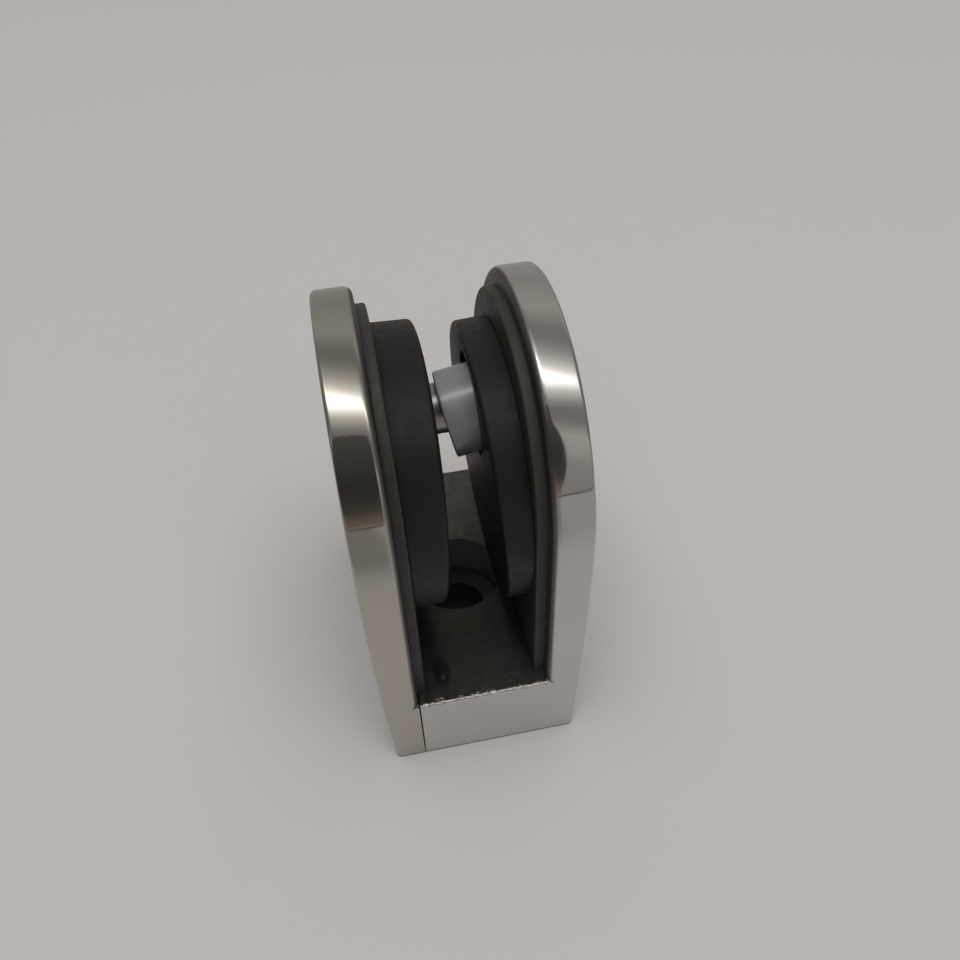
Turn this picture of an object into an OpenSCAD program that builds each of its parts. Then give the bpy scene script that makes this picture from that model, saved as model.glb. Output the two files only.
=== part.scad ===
// Flat-back glass clamp: a cast body with a D-shaped plate and a web, a matching cover plate
// held by two countersunk screws, rubber sheets and tapered round pads inside, and a safety pin
// with a loose sleeve on it.
// +Z runs up from the flat mounting face, +X from the cover towards the body, Y along the web's face.
// The origin is the middle of the mounting face.

/* [Plates] */
// Height from the mounting face to the top of the round end
clamp_h = 63; // [61.5:0.5:75]
// Width across the straight sides
clamp_w = 45; // [44.5:0.5:52]
// Thickness of a plate at its round end
plate_t = 5.4; // [4.8:0.1:7]
// Radius of the outer face's gentle bend towards the mounting face
bend_r = 700; // [500:10:2000]
// Rounding of a plate's outer edge
edge_r = 0.8; // [0.4:0.1:2]
// Rounding of a plate's inner edge
inner_edge = 1.2; // [0.4:0.1:1.4]

/* [Web] */
// Length of the web between the body's plate and the cover
web_len = 18.2; // [17.6:0.1:24]
// Height of the web above the mounting face
web_h = 12.6; // [12:0.1:16]
// Rounding of the web's upper edges
web_edge = 0.5; // [0.2:0.1:1]
// Joint line left between the web and the cover
seam = 0.2; // [0.1:0.05:0.6]
// Diameter of the mounting screw's hole
mount_d = 8.5; // [6.5:0.1:9]
// Diameter of the recess for the mounting screw's head
recess_d = 14; // [11:0.5:15]
// Depth of that recess
recess_depth = 8; // [5:0.5:9]

/* [Rubber] */
// Thickness of the rubber sheets
sheet_t = 1.4; // [1:0.1:1.8]
// Inset of the sheets from the plates' edges
sheet_inset = 2.4; // [1.5:0.1:3]
// Rounding of the sheets' front edge
sheet_edge = 0.35; // [0.1:0.05:0.5]
// Diameter of the round pads
pad_d = 38.8; // [36:0.2:40]
// Taper of the pads' glass faces, which makes the pads thicker at the top
pad_taper = 2.7; // [0:0.1:3.5]
// Rounding of the pads' front rims
pad_edge = 0.6; // [0.3:0.1:1]
// Thickness of the cover's pad at its middle
cover_pad_t = 4.8; // [4:0.1:5.2]
// Thickness of the body's pad at its middle
body_pad_t = 3.5; // [3:0.1:4.2]
// Distance of the middle of the cover's pad below the safety pin
cover_pad_drop = 9; // [8:0.1:10]
// Distance of the middle of the body's pad below the safety pin
body_pad_drop = 10.4; // [9:0.1:10.6]
// Hole in the body's pad, round the sleeve
pad_hole_d = 14; // [13.6:0.1:14.6]

/* [Safety pin] */
// Diameter of the safety pin
pin_d = 6.7; // [5:0.1:8]
// Height of the safety pin above the mounting face
pin_z = 47.1; // [45:0.1:49]
// Depth to which the pin is pressed into the body
pin_seat = 2.6; // [1.5:0.1:3.2]
// Depth to which the pin reaches into the cover
pin_reach = 2; // [1:0.1:2.8]

/* [Sleeve] */
// Outside diameter of the pin's sleeve
sleeve_d = 11.7; // [11.2:0.1:12]
// Inside diameter of the sleeve
sleeve_bore = 9.8; // [9.4:0.1:10.2]
// Length of the sleeve
sleeve_len = 6.4; // [5:0.1:7]
// Droop of the loose sleeve towards the cover
sleeve_droop = 11; // [8:0.5:12]
// Rounding of the sleeve's ends
sleeve_edge = 0.3; // [0.1:0.1:0.4]

/* [Cover screws] */
// Thread diameter of the cover screws
screw_d = 5; // [4:0.5:5]
// Head diameter of the cover screws
screw_head_d = 9.2; // [8:0.1:9.4]
// Length of the cover screws, head included
screw_len = 16; // [12:0.5:20]
// Distance between the two cover screws
screw_spacing = 27; // [24:0.5:32]
// Width across the flats of the hexagon socket
hex_w = 3; // [2:0.5:3.5]
// Depth of the hexagon socket
hex_depth = 2; // [1.5:0.1:2.4]

/* [Fits] */
// Radial clearance of the pin in the body's seat
press_gap = 0.02; // [0.01:0.01:0.03]
// Radial clearance of the pin in the cover and of the screws in the web
running_gap = 0.08; // [0.04:0.01:0.1]
// Radial clearance of the screws in the cover and of the pin in the sheets
hole_gap = 0.4; // [0.3:0.05:0.5]
// Radial clearance of the pin in the cover's pad
pad_gap = 0.8; // [0.5:0.1:1.2]
// Gap at a seat where loose pieces rest
seat_gap = 0.1; // [0.05:0.05:0.3]

/* [Hidden] */
$fn = 96;

steel = [0.76, 0.75, 0.73];
rubber = [0.12, 0.12, 0.13];
sheet_rubber = [0.16, 0.17, 0.16];
pin_steel = [0.62, 0.62, 0.62];
sleeve_grey = [0.45, 0.45, 0.48];
bend_fn = 360;

// The inner faces of the two plates lie at plus and minus this distance
inner_x = (web_len + seam) / 2;
round_r = clamp_w / 2;
round_z = clamp_h - round_r;
// Spare thickness under the bent part of a plate, cut off at its inner face
spare = 1;
bend_angle = asin((round_z + spare) / (bend_r - plate_t - spare));
// Extra length of cutting tools past the faces that they cut
past = 1;
screw_z = web_h / 2;
head_cone = (screw_head_d - screw_d) / 2;
// Straight rim of a screw's head, and how far the head lies under the cover's face
head_rim = 0.3;
head_sink = 0.3;
head_x = outer_x(screw_z) - head_sink;
// Bevels on the ends of the pin and of the screws
pin_bevel = 0.5;
screw_bevel = 0.6;
// Length of a tapped hole past the screw's end
tap_spare = 2;
pad_r = pad_d / 2;
// Distance of a sheet's front and of the pad resting on it from the middle
sheet_x = inner_x - sheet_t;
pad_x = sheet_x - seat_gap;

// Distance of a plate's outer face from the middle, at a height on its straight part
function outer_x(z) = inner_x + plate_t - bend_r + sqrt(pow(bend_r, 2) - pow(round_z - z, 2));

// Turns a solid drawn along Z so that it runs along X
module along_x() {
    rotate([90, 0, 90]) children();
}

// Half of a slab's section: x is its thickness, y its half width, rounded at the far corner
// and, where near is given, at the near one
module half_section(half_w, t, far, near = 0) {
    square([t - far, half_w - near]);
    translate([near, 0]) square([t - near, half_w - far]);
    translate([near, 0]) square([t - near - far, half_w]);
    translate([t - far, half_w - far]) circle(r = far);
    if (near > 0) translate([near, half_w - near]) circle(r = near);
}

module full_section(half_w, t, far, near = 0) {
    half_section(half_w, t, far, near);
    mirror([0, 1]) half_section(half_w, t, far, near);
}

// Half disc on the plane x = 0 that closes a D shape at its top
module round_end(half_w, t, far, near = 0) {
    translate([0, 0, round_z]) along_x()
        rotate_extrude(angle = 180) mirror([1, -1]) half_section(half_w, t, far, near);
}

// Straight part of a plate, its outer face bent in towards the mounting face and its inner edge sharp
// along the web's end
module bent_sides() {
    deep_t = plate_t + 2 * edge_r;
    intersection() {
        translate([plate_t - bend_r, 0, round_z]) rotate([-90, 0, 0])
            rotate_extrude(angle = bend_angle, $fn = bend_fn)
                translate([bend_r - plate_t - spare, 0]) full_section(round_r, plate_t + spare, edge_r);
        union() {
            linear_extrude(round_z) full_section(round_r, deep_t, edge_r, inner_edge);
            linear_extrude(web_h) full_section(round_r, deep_t, edge_r);
        }
    }
}

// D-shaped plate with its flat inner face on x = 0
module plate() {
    round_end(round_r, plate_t, edge_r, inner_edge);
    bent_sides();
}

// Section of the web across its length, its upper edges rounded
module web_section() {
    translate([-round_r, 0]) square([clamp_w, web_h - web_edge]);
    translate([web_edge - round_r, 0]) square([clamp_w - 2 * web_edge, web_h]);
    for (side = [-1, 1])
        translate([side * (round_r - web_edge), web_h - web_edge]) circle(r = web_edge);
}

// The web reaches into the body's plate, so that their fronts run on
module web() {
    translate([seam - inner_x, 0, 0]) along_x() linear_extrude(web_len + inner_edge) web_section();
}

// Places something at both cover screws' axes, with local Z pointing from the cover to the body
module at_screws() {
    for (side = [-1, 1]) translate([0, side * screw_spacing / 2, screw_z]) along_x() children();
}

module mounting_hole() {
    translate([0, 0, -past]) cylinder(d = mount_d, h = web_h + 2 * past);
    translate([0, 0, web_h - recess_depth]) cylinder(d = recess_d, h = recess_depth + past);
}

// Body of the clamp: plate and web in one casting
module clamp_body() {
    tap_depth = screw_len - head_x + inner_x - seam + tap_spare;
    color(steel) difference() {
        union() {
            translate([inner_x, 0, 0]) plate();
            web();
        }
        mounting_hole();
        at_screws() translate([0, 0, seam - inner_x - past])
            cylinder(r = screw_d / 2 + running_gap, h = tap_depth + past);
        translate([inner_x - past, 0, pin_z]) along_x()
            cylinder(r = pin_d / 2 + press_gap, h = pin_seat + past);
    }
}

// Countersunk hole through the cover, from its outer face inwards
module screw_hole() {
    wide_r = screw_head_d / 2 + running_gap;
    translate([0, 0, -head_x - past]) cylinder(r = wide_r, h = past + head_rim);
    translate([0, 0, head_rim - head_x]) cylinder(r1 = wide_r, r2 = screw_d / 2 + running_gap, h = head_cone);
    translate([0, 0, head_rim - head_x]) cylinder(r = screw_d / 2 + hole_gap, h = 2 * plate_t);
}

module cover_plate() {
    color(steel) difference() {
        mirror([1, 0, 0]) translate([inner_x, 0, 0]) plate();
        at_screws() screw_hole();
        translate([-inner_x - pin_reach - seat_gap, 0, pin_z]) along_x()
            cylinder(r = pin_d / 2 + running_gap, h = pin_reach + seat_gap + past);
    }
}

// D-shaped rubber sheet with its back on x = 0, standing just above the web
module sheet() {
    sheet_r = round_r - sheet_inset;
    sheet_z = web_h + seat_gap;
    difference() {
        union() {
            round_end(sheet_r, sheet_t, sheet_edge);
            translate([0, 0, sheet_z]) linear_extrude(round_z - sheet_z)
                full_section(sheet_r, sheet_t, sheet_edge);
        }
        translate([-past, 0, pin_z]) along_x() cylinder(r = pin_d / 2 + hole_gap, h = sheet_t + 2 * past);
    }
}

module body_sheet() {
    color(sheet_rubber) translate([inner_x, 0, 0]) mirror([1, 0, 0]) sheet();
}

module cover_sheet() {
    color(sheet_rubber) translate([-inner_x, 0, 0]) sheet();
}

// Half of a pad's section for turning: x is its radius, y runs to its glass face at t from a base
// deep enough for the flat back to be cut
module pad_section(t) {
    base = pad_r * sin(pad_taper) + past;
    translate([0, -base]) square([pad_r, base + t - pad_edge]);
    translate([0, -base]) square([pad_r - pad_edge, base + t]);
    translate([pad_r - pad_edge, t - pad_edge]) circle(r = pad_edge);
}

// Round pad with its flat back on x = 0, its glass face towards +X and the pin's hole above its middle
module pad(t, drop, hole_r) {
    difference() {
        rotate([0, pad_taper, 0]) along_x() rotate_extrude() pad_section(t);
        translate([-pad_r, -pad_d, -pad_d]) cube([pad_r, 2 * pad_d, 2 * pad_d]);
        translate([-past, 0, drop]) along_x() cylinder(r = hole_r, h = pad_r);
    }
}

module body_pad() {
    color(rubber) translate([pad_x, 0, pin_z - body_pad_drop]) mirror([1, 0, 0])
        pad(body_pad_t, body_pad_drop, pad_hole_d / 2);
}

module cover_pad() {
    color(rubber) translate([-pad_x, 0, pin_z - cover_pad_drop])
        pad(cover_pad_t, cover_pad_drop, pin_d / 2 + pad_gap);
}

// Turned pin with bevelled ends, pressed into the body
module safety_pin() {
    pin_len = 2 * inner_x + pin_seat + pin_reach;
    color(pin_steel) translate([-inner_x - pin_reach, 0, pin_z]) along_x() rotate_extrude()
        polygon([[0, 0], [pin_d / 2 - pin_bevel, 0], [pin_d / 2, pin_bevel], [pin_d / 2, pin_len - pin_bevel],
                 [pin_d / 2 - pin_bevel, pin_len], [0, pin_len]]);
}

// Half of the sleeve's wall for turning: x is its radius, y its length
module sleeve_section() {
    wall = (sleeve_d - sleeve_bore) / 2;
    translate([sleeve_bore / 2, sleeve_edge]) square([wall, sleeve_len - 2 * sleeve_edge]);
    translate([sleeve_bore / 2, 0]) square([wall - sleeve_edge, sleeve_len]);
    for (y = [sleeve_edge, sleeve_len - sleeve_edge])
        translate([sleeve_d / 2 - sleeve_edge, y]) circle(r = sleeve_edge);
}

// Sleeve that hangs on the pin by the top of its bore, its free end drooping towards the cover
module pin_sleeve() {
    free_x = pad_x - seat_gap - sleeve_len * cos(sleeve_droop) - sleeve_d / 2 * sin(sleeve_droop);
    free_z = pin_z + pin_d / 2 + seat_gap - sleeve_bore / 2 * cos(sleeve_droop);
    color(sleeve_grey) translate([free_x, 0, free_z]) rotate([0, -sleeve_droop, 0]) along_x()
        rotate_extrude() sleeve_section();
}

// Countersunk screw with a hexagon socket, its head's face at local z = 0
module screw() {
    difference() {
        rotate_extrude() polygon([[0, 0], [screw_head_d / 2, 0], [screw_head_d / 2, head_rim],
                                  [screw_d / 2, head_rim + head_cone], [screw_d / 2, screw_len - screw_bevel],
                                  [screw_d / 2 - screw_bevel, screw_len], [0, screw_len]]);
        translate([0, 0, -past]) cylinder(d = hex_w / cos(30), h = hex_depth + past, $fn = 6);
    }
}

module cover_screw(side) {
    color(pin_steel) translate([-head_x, side * screw_spacing / 2, screw_z]) along_x() screw();
}

module cover_screw_front() {
    cover_screw(-1);
}

module cover_screw_rear() {
    cover_screw(1);
}

clamp_body();
cover_plate();
body_sheet();
cover_sheet();
body_pad();
cover_pad();
safety_pin();
pin_sleeve();
cover_screw_front();
cover_screw_rear();
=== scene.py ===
import math

import bpy
from mathutils import Matrix, Vector


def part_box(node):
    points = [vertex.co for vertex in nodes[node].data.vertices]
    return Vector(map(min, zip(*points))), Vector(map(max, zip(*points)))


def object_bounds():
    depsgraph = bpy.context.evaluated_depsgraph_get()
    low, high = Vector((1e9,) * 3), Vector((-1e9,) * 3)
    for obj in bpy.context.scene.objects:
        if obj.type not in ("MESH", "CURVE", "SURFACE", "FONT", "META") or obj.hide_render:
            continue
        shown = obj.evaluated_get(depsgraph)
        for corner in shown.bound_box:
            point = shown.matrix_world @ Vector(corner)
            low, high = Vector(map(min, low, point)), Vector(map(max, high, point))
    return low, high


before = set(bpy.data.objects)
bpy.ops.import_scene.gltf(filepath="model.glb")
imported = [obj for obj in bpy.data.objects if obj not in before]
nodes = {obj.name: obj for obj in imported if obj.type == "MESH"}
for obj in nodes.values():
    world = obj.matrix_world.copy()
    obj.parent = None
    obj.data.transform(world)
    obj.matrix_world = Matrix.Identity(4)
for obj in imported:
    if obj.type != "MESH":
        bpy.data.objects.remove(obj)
cad_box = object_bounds()

# All places and lengths are in millimetres, and all colours are linear
MM = 0.001

# Camera: where the photograph was taken from, with its angles in radians
CAMERA_POS = (-10.9474, -89.7763, 125.8323)
CAMERA_PITCH = 0.7977
CAMERA_YAW = 0.1709
CAMERA_ROLL = 0.0394
CAMERA_CLIP = 5
FOCAL_PIXELS = 916.1757
IMAGE_PIXELS = 960
SENSOR_WIDTH = 36

# Colours of the floor and the pieces
FLOOR_COLOUR = (0.605, 0.59, 0.585)
STEEL = (0.6, 0.588, 0.565)
COVER_STEEL = (0.5, 0.475, 0.43)
CAST_STEEL = (0.15, 0.15, 0.14)
RECESS_STEEL = (0.23, 0.21, 0.218)
CHIPPED_STEEL = (0.8, 0.79, 0.76)
PAD_RUBBER = (0.011, 0.011, 0.0115)
SHEET_RUBBER = (0.037, 0.038, 0.034)
PIN_STEEL = (0.4, 0.39, 0.375)
SLEEVE_GREY = (0.225, 0.227, 0.24)
SCREW_STEEL = (0.5, 0.49, 0.47)

# Roughness of each finish, from where it is smoothest to where it is roughest
POLISH_ROUGHNESS = (0.05, 0.085)
RAW_ROUGHNESS = (0.4, 0.55)
CHIP_ROUGHNESS = 0.2
RUBBER_ROUGHNESS = (0.44, 0.56)
TURNED_ROUGHNESS = (0.24, 0.36)
SLEEVE_ROUGHNESS = (0.13, 0.18)
# Most of what a noise gives lies between these
NOISE_SPAN = (0.3, 0.7)
# How a noise is squeezed into rings round the X axis
RING_SQUEEZE = (9.0, 0.3, 0.3)

# Plates: where their faces, edges and the web lie
PLATE_T = (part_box("cover_plate")[1].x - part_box("cover_plate")[0].x) / MM
OUTER_X = cad_box[1].x / MM
INNER_X = OUTER_X - PLATE_T
HALF_W = cad_box[1].y / MM
ROUND_Z = cad_box[1].z / MM - HALF_W
OUTER_EDGE = 0.8
INNER_EDGE = 1.2
BEND_R = 700
WEB_TOP = 12.6
RECESS_R = 7
RECESS_DEPTH = 8
# A hair's breadth past a face, and the width over which one finish passes into the next
HAIR = 0.02
SOFT = 0.1

# Lean of a rim's normal at the ends of its flat, because polishing left it slightly round, and the
# height over the web in which this grows
RIM_CROWN = 0.045
CROWN_FADE = 10
# Powers that let the roundings turn late, so that the edges look tighter
OUTER_LATE = 3.0
INNER_LATE = 1.6
# How far behind the web's front its raw top starts, and which shares of a plate's inner rounding pass
# from raw to polished
FACE_BAND = 0.3
LIP = (0.3, 0.65)
# Height of the band at the foot that takes the raw steel's colour: painted shade where the foot meets the
# floor
FOOT_PAINTED_SHADE = (0.1, 0.4)

# Chips along the web's front edge: how far back and how far down they reach, how far from the plates
# they stay, and which part of a fine noise glitters in them and in the specks behind them
CHIP_NOISE = (0.35, 0.7)
CHIP_REACH = (0.4, 1.15)
CHIP_FADE = 0.15
CHIP_DROP = 0.42
CHIP_INSET = 0.15
CHIP_GLITTER = (0.41, 0.49)
SPECK_GLITTER = (0.55, 0.61)
# Marks on the web's top: middles and half sizes of a dark spot, a bright nick in it and a patch of specks
DARK_SPOT = ((-5.1, -17.4), (1.6, 3.3))
NICK = ((-5.1, -18.3), (0.3, 0.5))
SPECKS = ((4.6, -20.4), (2.7, 0.8))
DARK_SPOT_LEVEL = 0.55
# Share of a spot's half size within which it is full
SPOT_CORE = 0.5
# Share of the chips' grain that the raw steel has
RAW_GRAIN = 0.2
# Screw recess: how far past its edge and under the web's top it is dark, and the painted shade at its
# bottom
RECESS_SLACK = 0.05
RECESS_DROP = 0.15
RECESS_BOTTOM = 1.5
RECESS_BOTTOM_SHADE = 0.35

# Ceiling, as degrees from the zenith towards the front and brightness, slanted across the clamp
CEILING = (
    (-90, 0.32),
    (-76, 0.31),
    (-55, 0.37),
    (-44, 0.4),
    (-37, 0.35),
    (-31, 0.29),
    (-26, 0.245),
    (-21, 0.245),
    (-12, 0.29),
    (20, 0.27),
    (34, 0.225),
    (39, 0.25),
    (48, 0.46),
    (58, 0.42),
    (68, 0.31),
    (90, 0.28),
)
CEILING_SLANT = math.radians(25)
CEILING_TINT = (1.0, 0.955, 0.9)
# Lamp under the ceiling, in the same way: its rear and front edges, as shares of its brightness,
# each with its own slant, and the ends of its length as shares of a direction's X
LAMP_LEVEL = 3.2
LAMP_REAR = (
    (-18, 0.0),
    (-12, 0.023),
    (-6, 0.08),
    (-1, 0.165),
    (2.3, 0.26),
    (5, 0.42),
    (8, 0.75),
    (10, 1.0),
)
LAMP_FRONT = (
    (11.5, 1.0),
    (13.5, 0.78),
    (15.5, 0.52),
    (17.7, 0.36),
    (21, 0.17),
    (28, 0.035),
    (33, 0.0),
)
REAR_SLANT = math.radians(36)
FRONT_SLANT = math.radians(15)
LAMP_LEFT = (-0.4, -0.15)
LAMP_RIGHT = (0.34, 0.52)
LAMP_TINT = (1.0, 0.975, 0.955)
WHITE = (1.0, 1.0, 1.0)
# The room is darker to both sides: from where to where, in the same shares, and how much
SIDES = (0.4, 0.9)
SIDES_FADED = 0.6

# Lamp overhead that only lights and isn't mirrored
FILL_PLACE = (0, -200, 1350)
FILL_SIZE = 1200
FILL_POWER = 8.8

# Floor: half its size, and the round part of it under the screw hole, given painted shade
FLOOR_HALF = 3000
UNDER_HOLE_R = 5.25
UNDER_HOLE_SHADE = 0.1

# Dark strip far in front, glowing and seen in mirrors alone: a painted reflection of a dark edge
EDGE_Y = -1080
EDGE_HEIGHT = 20
EDGE_HALF = 900
EDGE_SHADE = (0.07, 0.065, 0.058)

# Glowing sheet over the floor before the clamp, seen in mirrors alone: a painted reflection of the floor
# with painted shade, deepest on the left. The floor's own brightness, where the shade grows to the front
# and to the left, and the share of light left in it
PATCH_LIGHT = (0.466, 0.445, 0.43)
PATCH_GROWS = (-110, -40)
PATCH_SIDE = (-10, 40)
PATCH_LEFT = 0.57
PATCH_RIGHT = 0.82
PATCH_HALF = 1000
PATCH_LIFT = 0.2

# Dark oval in front of the clamp, glowing and seen in mirrors alone as a painted reflection: its place,
# its half widths and height, and its foot
OVAL_Y = -100
OVAL_X = -20
OVAL_Z = 105
OVAL_LEFT = 200
OVAL_RIGHT = 48
OVAL_UP = 92
OVAL_FOOT = 49
OVAL_STEPS = 48
# Its glow over its height
OVAL_SHADES = (
    (49, (0.2, 0.165, 0.135)),
    (56, (0.16, 0.13, 0.105)),
    (64, (0.08, 0.07, 0.06)),
    (76, (0.053, 0.05, 0.046)),
    (92, (0.043, 0.043, 0.041)),
    (115, (0.056, 0.057, 0.056)),
    (147, (0.075, 0.075, 0.074)),
    (197, (0.1, 0.1, 0.098)),
)

# Low grey board behind the clamp, glowing and seen in mirrors alone: a painted reflection
BOARD_Y = 62
BOARD_HEIGHT = 62
BOARD_HALF = 400
BOARD_SHADE = (0.31, 0.296, 0.28)


class Nodes:
    """Short way to make and join the nodes of one material or world."""

    def __init__(self, tree):
        self.tree = tree
        tree.nodes.clear()

    def add(self, kind, inputs=None, **settings):
        made = self.tree.nodes.new(kind)
        for name, value in settings.items():
            setattr(made, name, value)
        for key, value in (inputs or {}).items():
            self.feed(made.inputs[key], value)
        return made

    def feed(self, socket, value):
        if isinstance(value, bpy.types.NodeSocket):
            self.tree.links.new(value, socket)
        else:
            socket.default_value = value

    def math(self, operation, a, b=0.0):
        return self.add("ShaderNodeMath", {0: a, 1: b}, operation=operation).outputs[0]

    def product(self, first, *others):
        for other in others:
            first = self.math("MULTIPLY", first, other)
        return first

    def vector(self, operation, a, b=(0.0, 0.0, 0.0)):
        return self.add("ShaderNodeVectorMath", {0: a, 1: b}, operation=operation).outputs[0]

    def scaled(self, a, factor):
        return self.add("ShaderNodeVectorMath", {0: a, 3: factor}, operation="SCALE").outputs[0]

    def length(self, a):
        return self.add("ShaderNodeVectorMath", {0: a}, operation="LENGTH").outputs["Value"]

    def xyz(self, x=0.0, y=0.0, z=0.0):
        return self.add("ShaderNodeCombineXYZ", {0: x, 1: y, 2: z}).outputs[0]

    def parts(self, vector):
        return self.add("ShaderNodeSeparateXYZ", {0: vector}).outputs

    def ranged(self, value, low, high, start=0.0, end=1.0, kind="SMOOTHSTEP"):
        """Value mapped from low..high to start..end, smoothly unless another kind is given."""
        made = self.add(
            "ShaderNodeMapRange",
            {"Value": value, "From Min": low, "From Max": high, "To Min": start, "To Max": end},
            interpolation_type=kind,
        )
        return made.outputs["Result"]

    def past(self, value, edge):
        """1 where a value is past an edge and 0 before it."""
        return self.ranged(value, edge, edge + SOFT)

    def before(self, value, edge):
        """1 where a value is before an edge and 0 past it."""
        return self.ranged(value, edge, edge + SOFT, 1.0, 0.0)

    def ramp(self, value, stops):
        """Colours over the stops' own range, from pairs of a place and a colour."""
        low, high = stops[0][0], stops[-1][0]
        made = self.add("ShaderNodeValToRGB", {0: self.ranged(value, low, high, kind="LINEAR")})
        elements = made.color_ramp.elements
        while len(elements) < len(stops):
            elements.new(1.0)
        for element, (at, colour) in zip(elements, stops):
            element.position = (at - low) / (high - low)
            element.color = rgba(colour)
        return made.outputs["Color"]

    def mixed(self, factor, a, b, kind="RGBA"):
        """Mix of two colours, or of two numbers or vectors where kind says so."""
        place, result = {"FLOAT": (2, 0), "VECTOR": (4, 1), "RGBA": (6, 2)}[kind]
        made = self.add("ShaderNodeMix", {0: factor, place: a, place + 1: b}, data_type=kind)
        return made.outputs[result]

    def noise(self, vector, scale, detail=3.0, rough=0.5):
        inputs = {"Vector": vector, "Scale": scale, "Detail": detail, "Roughness": rough}
        return self.add("ShaderNodeTexNoise", inputs).outputs["Fac"]

    def uneven(self, vector, low, high, scale, detail=3.0):
        """Number that a noise moves between low and high."""
        return self.ranged(self.noise(vector, scale, detail), *NOISE_SPAN, low, high)

    def clouded(self, vector, colour, spread, scale, detail=3.0):
        """Colour that a noise makes darker and lighter by up to a share of it."""
        dark, light = (rgba(times(colour, share)) for share in (1 - spread, 1 + spread))
        return self.mixed(self.noise(vector, scale, detail), dark, light)


def rgba(colour):
    return (*colour, 1.0)


def times(colour, factor):
    return tuple(c * factor for c in colour)


def material(name):
    made = bpy.data.materials.new(name)
    made.use_nodes = True
    return made, Nodes(made.node_tree)


def surface(tree, **inputs):
    """Principled surface joined to the material's output."""
    shader = tree.add("ShaderNodeBsdfPrincipled", {k.replace("_", " "): v for k, v in inputs.items()})
    tree.add("ShaderNodeOutputMaterial", {"Surface": shader.outputs[0]})


def place(tree):
    """Place on the piece at rest, in millimetres."""
    return tree.scaled(tree.add("ShaderNodeTexCoord").outputs["Object"], 1 / MM)


def bump(tree, height, strength, depth, normal=None):
    inputs = {"Height": height, "Strength": strength, "Distance": depth * MM}
    if normal is not None:
        inputs["Normal"] = normal
    return tree.add("ShaderNodeBump", inputs).outputs[0]


def spot(tree, x, y, middle, half):
    """Oval spot seen from above, 1 in its middle and 0 outside."""
    aside = tree.product(tree.math("SUBTRACT", x, middle[0]), 1 / half[0])
    along = tree.product(tree.math("SUBTRACT", y, middle[1]), 1 / half[1])
    return tree.ranged(tree.length(tree.xyz(aside, along)), SPOT_CORE, 1.0, 1.0, 0.0)


def plate_normal(tree, out, y, z, side):
    """Normal of a plate's crowned rim and its late-turning roundings, and the mesh's own elsewhere."""
    above = tree.math("MAXIMUM", tree.math("SUBTRACT", z, ROUND_Z), 0.0)
    below = tree.math("MAXIMUM", tree.math("SUBTRACT", ROUND_Z, z), 0.0)
    outer = tree.math("SUBTRACT", OUTER_X, tree.product(below, below, 0.5 / BEND_R))
    radial = tree.xyz(0.0, y, above)
    # How far the normal turns outwards at the outer edge, inwards at the inner edge, and between them
    outer_turn = tree.ranged(out, tree.math("SUBTRACT", outer, OUTER_EDGE), outer, kind="LINEAR")
    outer_turn = tree.math("POWER", outer_turn, OUTER_LATE)
    inner_turn = tree.ranged(out, INNER_X, INNER_X + INNER_EDGE, 1.0, 0.0, "LINEAR")
    inner_turn = tree.product(inner_turn, tree.math("GREATER_THAN", z, WEB_TOP))
    inner_turn = tree.math("POWER", inner_turn, INNER_LATE)
    crown = tree.ranged(
        out, INNER_X + INNER_EDGE, OUTER_X - OUTER_EDGE, -RIM_CROWN, RIM_CROWN, "LINEAR"
    )
    crown = tree.product(crown, tree.ranged(z, WEB_TOP, WEB_TOP + CROWN_FADE))
    turn = tree.math("ADD", tree.math("SUBTRACT", outer_turn, inner_turn), crown)
    turn = tree.math("MAXIMUM", tree.math("MINIMUM", turn, 1.0), -1.0)
    level = tree.math("SQRT", tree.math("SUBTRACT", 1.0, tree.product(turn, turn)))
    across = tree.xyz(tree.product(turn, side), 0.0, tree.product(outer_turn, below, -1 / BEND_R))
    turned = tree.vector("ADD", tree.scaled(tree.vector("NORMALIZE", radial), level), across)
    own = tree.add("ShaderNodeNewGeometry").outputs["Normal"]
    at_rim = tree.product(
        tree.math("GREATER_THAN", tree.length(radial), HALF_W - INNER_EDGE - HAIR),
        tree.math("GREATER_THAN", out, INNER_X - HAIR),
        tree.math("GREATER_THAN", z, HAIR),
    )
    return tree.mixed(at_rim, own, tree.vector("NORMALIZE", turned), "VECTOR")


def raw_inside(tree, out, z, depth):
    """Mask of the raw cast inside, which reaches on to the plate's inner rounding."""
    inside = tree.product(tree.before(out, INNER_X + HAIR), tree.past(depth, FACE_BAND))
    lip_start, lip_end = (INNER_X + share * INNER_EDGE for share in LIP)
    lip = tree.ranged(out, lip_start, lip_end, 1.0, 0.0)
    return tree.math("MAXIMUM", inside, tree.product(lip, tree.math("GREATER_THAN", z, WEB_TOP)))


def web_chips(tree, where, out, y, z, depth):
    """Mask of the chips along the web's ground front edge."""
    reach = tree.ranged(tree.noise(where, scale=0.55, detail=2.0), *CHIP_NOISE, *CHIP_REACH)
    return tree.product(
        tree.ranged(depth, tree.math("SUBTRACT", reach, CHIP_FADE), reach, 1.0, 0.0),
        tree.before(out, INNER_X - CHIP_INSET),
        tree.math("LESS_THAN", y, 0.0),
        tree.math("LESS_THAN", z, WEB_TOP + SOFT),
        tree.past(z, WEB_TOP - CHIP_DROP),
    )


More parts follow.
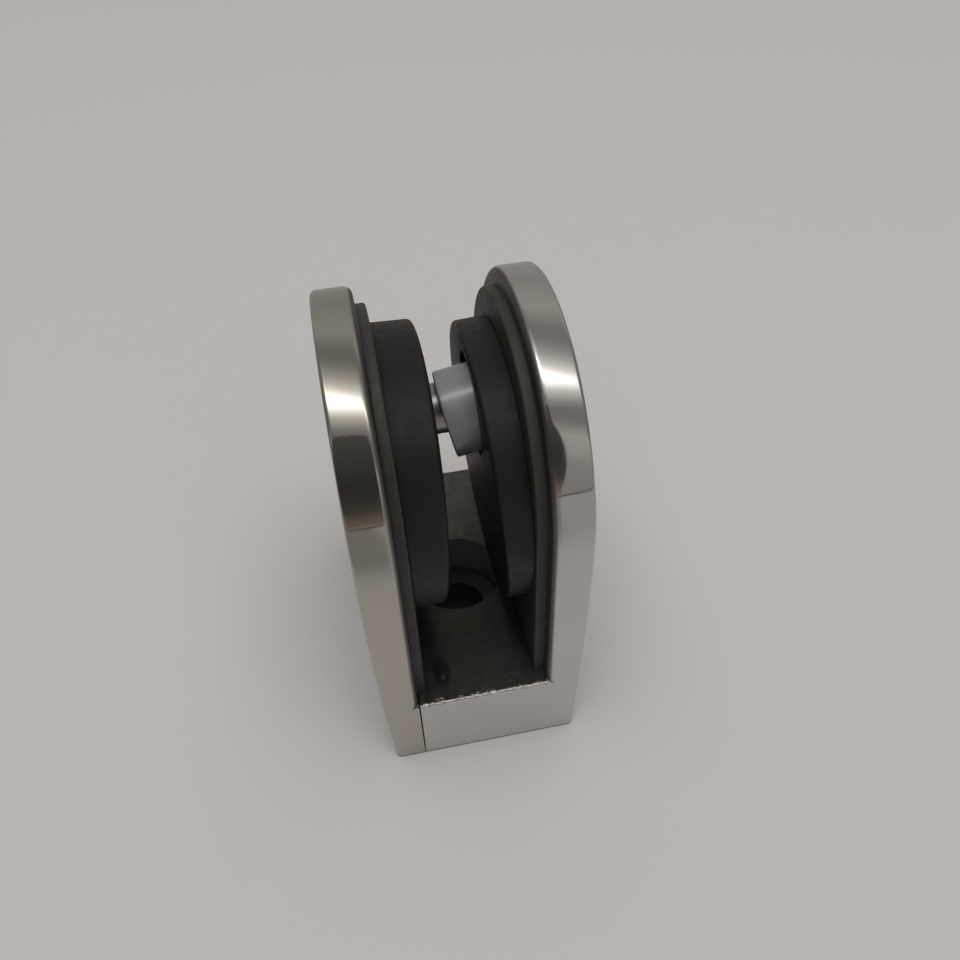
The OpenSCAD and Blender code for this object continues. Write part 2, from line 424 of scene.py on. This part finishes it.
def raw_colour(tree, where, x, y, z, recess):
    """Clouded colour of the raw steel, with the dark spot on the web's top and the dark recess with
    painted shade at its bottom.
    """
    colour = tree.clouded(where, CAST_STEEL, spread=0.25, scale=0.5, detail=4.0)
    colour = tree.mixed(spot(tree, x, y, *DARK_SPOT), colour, rgba(times(CAST_STEEL, DARK_SPOT_LEVEL)))
    bottom = WEB_TOP - RECESS_DEPTH
    # Painted shade, darkest at the recess's bottom
    deep = tree.ranged(z, bottom, bottom + RECESS_BOTTOM, 1.0, 0.0)
    deep = tree.mixed(deep, rgba(RECESS_STEEL), rgba(times(RECESS_STEEL, RECESS_BOTTOM_SHADE)))
    return tree.mixed(recess, colour, deep)


def plate_steel(name, colour, side):
    """Mirror-polished steel, raw cast inside: side is 1 for the body's plate and -1 for the cover."""
    made, tree = material(name)
    where = place(tree)
    x, y, z = tree.parts(where)
    out = tree.product(x, side)
    depth = tree.math("SUBTRACT", HALF_W, tree.math("ABSOLUTE", y))
    cast = raw_inside(tree, out, z, depth)
    chips = web_chips(tree, where, out, y, z, depth)
    glitter = tree.noise(where, scale=3.2, detail=2.0, rough=0.6)
    specks = tree.product(spot(tree, x, y, *SPECKS), tree.ranged(glitter, *SPECK_GLITTER))
    marks = tree.product(tree.math("MAXIMUM", specks, spot(tree, x, y, *NICK)), cast)
    bright = tree.math("MAXIMUM", tree.product(chips, tree.ranged(glitter, *CHIP_GLITTER)), marks)
    recess = tree.product(
        tree.before(tree.length(tree.xyz(x, y)), RECESS_R + RECESS_SLACK),
        tree.before(z, WEB_TOP - RECESS_DROP),
    )
    # Painted shade along the foot where it meets the floor, in the raw steel's colour
    foot = tree.ranged(z, *FOOT_PAINTED_SHADE, 1.0, 0.0)
    raw = raw_colour(tree, where, x, y, z, recess)
    shade = tree.mixed(tree.math("MAXIMUM", cast, foot), rgba(colour), raw)
    shade = tree.mixed(bright, shade, rgba(CHIPPED_STEEL))
    polished = tree.uneven(where, *POLISH_ROUGHNESS, scale=0.35, detail=4.0)
    coarse = tree.uneven(where, *RAW_ROUGHNESS, scale=1.1, detail=4.0)
    rough = tree.mixed(cast, polished, coarse, "FLOAT")
    rough = tree.mixed(bright, rough, CHIP_ROUGHNESS, "FLOAT")
    normal = plate_normal(tree, out, y, z, side)
    waves = tree.noise(where, scale=0.3, detail=2.0)
    normal = bump(tree, waves, strength=0.5, depth=0.012, normal=normal)
    pits = tree.noise(where, scale=3.4, rough=0.6)
    grain = tree.math("MAXIMUM", chips, tree.product(cast, RAW_GRAIN))
    normal = bump(tree, pits, strength=grain, depth=0.14, normal=normal)
    metallic = tree.math("SUBTRACT", 1.0, recess)
    surface(tree, Base_Color=shade, Metallic=metallic, Roughness=rough, Normal=normal)
    return made


def rubber(name, colour, grain):
    """Matt rubber with a fine grain and slightly uneven colour."""
    made, tree = material(name)
    where = place(tree)
    shade = tree.clouded(where, colour, spread=0.25, scale=0.16)
    rough = tree.uneven(where, *RUBBER_ROUGHNESS, scale=0.7)
    normal = bump(tree, tree.noise(where, scale=6.0), strength=0.25, depth=grain)
    surface(tree, Base_Color=shade, Roughness=rough, Specular_IOR_Level=0.35, Normal=normal)
    return made


def turned_metal(name, colour):
    """Satin metal with fine rings round the X axis."""
    made, tree = material(name)
    where = place(tree)
    rings = tree.noise(tree.vector("MULTIPLY", where, RING_SQUEEZE), scale=1.0, detail=2.0)
    rough = tree.ranged(rings, *NOISE_SPAN, *TURNED_ROUGHNESS)
    normal = bump(tree, rings, strength=0.3, depth=0.02)
    surface(tree, Base_Color=rgba(colour), Metallic=1.0, Roughness=rough, Normal=normal)
    return made


def sleeve_plastic():
    """Satin grey plastic."""
    made, tree = material("sleeve_plastic")
    where = place(tree)
    shade = tree.clouded(where, SLEEVE_GREY, spread=0.1, scale=0.3)
    rough = tree.uneven(where, *SLEEVE_ROUGHNESS, scale=2.0)
    surface(tree, Base_Color=shade, Roughness=rough, Specular_IOR_Level=0.8)
    return made


def dress(node, finish):
    mesh = nodes[node].data
    mesh.materials.clear()
    mesh.materials.append(finish)


def add_flat(name, points):
    """One flat face, linked to the scene."""
    mesh = bpy.data.meshes.new(name)
    mesh.from_pydata([Vector(point) * MM for point in points], [], [tuple(range(len(points)))])
    made = bpy.data.objects.new(name, mesh)
    bpy.context.scene.collection.objects.link(made)
    return made


def add_rectangle(name, half, low, high):
    """Flat or upright rectangle along X, between two pairs of Y and Z."""
    return add_flat(name, [(-half, *low), (half, *low), (half, *high), (-half, *high)])


def only_mirrored(stage, shade):
    """Makes a stage piece glow, seen in mirrors alone, in the colour that shade makes from its nodes: a
    painted reflection.
    """
    stage.visible_camera = False
    stage.visible_diffuse = False
    stage.visible_shadow = False
    finish, tree = material(stage.name)
    glow = tree.add("ShaderNodeEmission", {"Color": shade(tree)})
    tree.add("ShaderNodeOutputMaterial", {"Surface": glow.outputs[0]})
    stage.data.materials.append(finish)


def build_camera():
    """Camera where the photograph was taken from."""
    pitch, yaw, roll = CAMERA_PITCH, CAMERA_YAW, CAMERA_ROLL
    level_forward = Vector((math.sin(yaw), math.cos(yaw), 0))
    forward = math.cos(pitch) * level_forward - math.sin(pitch) * Vector((0, 0, 1))
    level_right = Vector((math.cos(yaw), -math.sin(yaw), 0))
    level_down = forward.cross(level_right)
    right = math.cos(roll) * level_right + math.sin(roll) * level_down
    down = -math.sin(roll) * level_right + math.cos(roll) * level_down
    turn = Matrix((right, -down, -forward)).transposed()
    data = bpy.data.cameras.new("camera")
    data.sensor_width = SENSOR_WIDTH
    data.lens = FOCAL_PIXELS / IMAGE_PIXELS * SENSOR_WIDTH
    data.clip_start = CAMERA_CLIP * MM
    camera = bpy.data.objects.new("camera", data)
    camera.matrix_world = Matrix.Translation(Vector(CAMERA_POS) * MM) @ turn.to_4x4()
    bpy.context.scene.collection.objects.link(camera)
    bpy.context.scene.camera = camera


def build_floor():
    """Plain matt floor, with painted shade under the screw hole."""
    floor = add_rectangle("floor", FLOOR_HALF, (-FLOOR_HALF, 0), (FLOOR_HALF, 0))
    finish, tree = material("floor")
    x, y, _ = tree.parts(place(tree))
    # Painted shade on the floor under the screw hole
    under_hole = tree.math("LESS_THAN", tree.length(tree.xyz(x, y)), UNDER_HOLE_R)
    shade = tree.mixed(under_hole, rgba(FLOOR_COLOUR), rgba(times(FLOOR_COLOUR, UNDER_HOLE_SHADE)))
    surface(tree, Base_Color=shade, Roughness=1.0, Specular_IOR_Level=0.0)
    floor.data.materials.append(finish)


def patch_shade(tree):
    """Glow in the floor's own brightness, with painted shade to the front and most of all on the left."""
    x, y, _ = tree.parts(place(tree))
    left, right = (rgba(times(PATCH_LIGHT, share)) for share in (PATCH_LEFT, PATCH_RIGHT))
    deepest = tree.mixed(tree.ranged(x, *PATCH_SIDE), left, right)
    return tree.mixed(tree.ranged(y, *PATCH_GROWS), deepest, rgba(PATCH_LIGHT))


def build_patch():
    """Glowing sheet over the floor before the clamp, seen in mirrors alone: painted shade on a painted
    reflection of the floor.
    """
    patch = add_rectangle("patch", PATCH_HALF, (EDGE_Y, PATCH_LIFT), (PATCH_GROWS[1], PATCH_LIFT))
    only_mirrored(patch, patch_shade)


def build_oval():
    """Dark glowing oval in front of the clamp, seen in mirrors alone: a painted reflection."""
    lowest = math.asin((OVAL_FOOT - OVAL_Z) / OVAL_UP)
    outline = []
    for step in range(OVAL_STEPS + 1):
        angle = lowest + step / OVAL_STEPS * (math.pi - 2 * lowest)
        half = OVAL_RIGHT if math.cos(angle) > 0 else OVAL_LEFT
        outline.append((OVAL_X + half * math.cos(angle), OVAL_Y, OVAL_Z + OVAL_UP * math.sin(angle)))
    oval = add_flat("oval", outline)
    only_mirrored(oval, lambda tree: tree.ramp(tree.parts(place(tree))[2], OVAL_SHADES))


def build_edge():
    """Dark glowing strip far in front, seen in mirrors alone: a painted reflection, a thin line in the
    steel.
    """
    edge = add_rectangle("edge", EDGE_HALF, (EDGE_Y, 0), (EDGE_Y, EDGE_HEIGHT))
    only_mirrored(edge, lambda tree: rgba(EDGE_SHADE))


def build_board():
    """Low glowing board behind the clamp, seen in mirrors alone: a painted reflection in the tops of the
    rims.
    """
    board = add_rectangle("board", BOARD_HALF, (BOARD_Y, 0), (BOARD_Y, BOARD_HEIGHT))
    only_mirrored(board, lambda tree: rgba(BOARD_SHADE))


def build_fill():
    """Soft lamp overhead, which the steel doesn't mirror."""
    data = bpy.data.lights.new("fill", "AREA")
    data.size = FILL_SIZE * MM
    data.energy = FILL_POWER
    fill = bpy.data.objects.new("fill", data)
    fill.location = Vector(FILL_PLACE) * MM
    fill.visible_glossy = False
    bpy.context.scene.collection.objects.link(fill)


def build_world():
    """Grey ceiling with one soft lamp overhead."""
    world = bpy.data.worlds.new("studio")
    bpy.context.scene.world = world
    world.use_nodes = True
    tree = Nodes(world.node_tree)
    x, y, z = tree.parts(tree.add("ShaderNodeTexCoord").outputs["Generated"])
    tilt = tree.math("ARCTAN2", tree.product(y, -1.0), z)

    def across(stops, slant, tint):
        """Brightness over the tilt of a direction, slanted with its X."""
        slanted = tree.math("SUBTRACT", tilt, tree.product(x, slant))
        return tree.ramp(slanted, [(math.radians(at), times(tint, level)) for at, level in stops])

    ceiling = across(CEILING, CEILING_SLANT, CEILING_TINT)
    rear = across(LAMP_REAR, REAR_SLANT, LAMP_TINT)
    front = across(LAMP_FRONT, FRONT_SLANT, WHITE)
    ends = tree.product(tree.ranged(x, *LAMP_LEFT), tree.ranged(x, *LAMP_RIGHT, 1.0, 0.0), LAMP_LEVEL)
    lamp = tree.scaled(tree.vector("MULTIPLY", rear, front), ends)
    sides = tree.ranged(tree.math("ABSOLUTE", x), *SIDES, 1.0, SIDES_FADED)
    colour = tree.scaled(tree.vector("ADD", ceiling, lamp), sides)
    shade = tree.add("ShaderNodeBackground", {"Color": colour})
    tree.add("ShaderNodeOutputWorld", {"Surface": shade.outputs[0]})


def dress_nodes():
    dress("clamp_body", plate_steel("body_steel", STEEL, 1))
    dress("cover_plate", plate_steel("cover_steel", COVER_STEEL, -1))
    sheet = rubber("sheet_rubber", SHEET_RUBBER, grain=0.02)
    pad = rubber("pad_rubber", PAD_RUBBER, grain=0.03)
    for side in ("body", "cover"):
        dress(f"{side}_sheet", sheet)
        dress(f"{side}_pad", pad)
    dress("safety_pin", turned_metal("turned_steel", PIN_STEEL))
    dress("pin_sleeve", sleeve_plastic())
    screw = turned_metal("screw_steel", SCREW_STEEL)
    for end in ("front", "rear"):
        dress(f"cover_screw_{end}", screw)


bpy.context.scene.view_settings.view_transform = "Standard"
build_camera()
build_floor()
build_patch()
build_oval()
build_edge()
build_board()
build_fill()
build_world()
dress_nodes()
